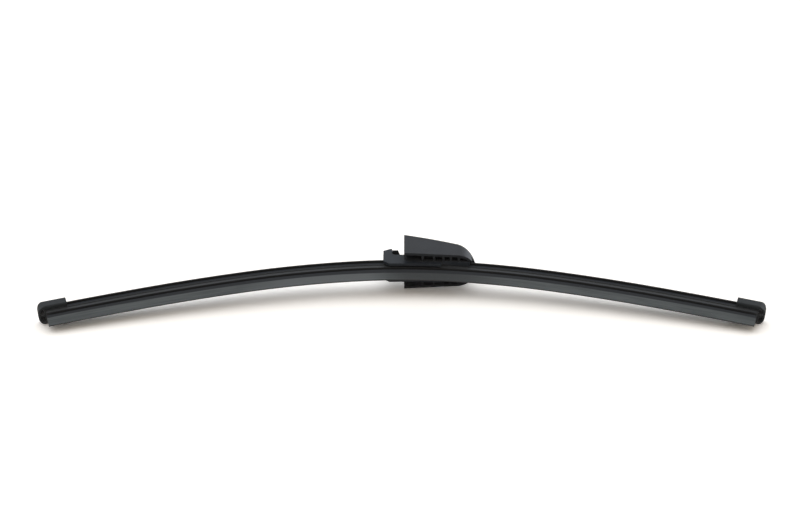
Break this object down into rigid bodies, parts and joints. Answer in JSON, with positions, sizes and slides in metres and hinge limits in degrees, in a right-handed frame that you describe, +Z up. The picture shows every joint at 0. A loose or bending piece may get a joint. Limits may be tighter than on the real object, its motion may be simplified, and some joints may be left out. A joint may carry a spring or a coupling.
{
  "type": "wiper blade",
  "caption": "Rear-window beam wiper blade: bowed wiping rubber on steel strips, clip-on end caps, and a fin-shaped ribbed cover over a connector that hooks on the arm's cross pin.",
  "frame": {"origin": "middle of the blade's box, on the table that the blade lies on", "axes": "+X along the blade towards the cover's nose, +Y from the wiping lip to the arm side, +Z up from the table"},
  "size_m": [0.3944, 0.0694, 0.026],
  "materials": {
    "wiping_rubber": "black rubber, graphite grey on the lip",
    "coated_steel": "black coated spring steel, satin",
    "cap_plastic": "black, finely textured",
    "connector_plastic": "black, satin",
    "cover_plastic": "black, finely textured outside"
  },
  "bodies": {
    "root": {"rubber_strip": "wiping_rubber", "spring_strip_upper": "coated_steel", "spring_strip_lower": "coated_steel", "end_cap_left": "cap_plastic", "end_cap_right": "cap_plastic", "connector_base": "connector_plastic", "connector_cover": "cover_plastic"}
  },
  "joints": []
}
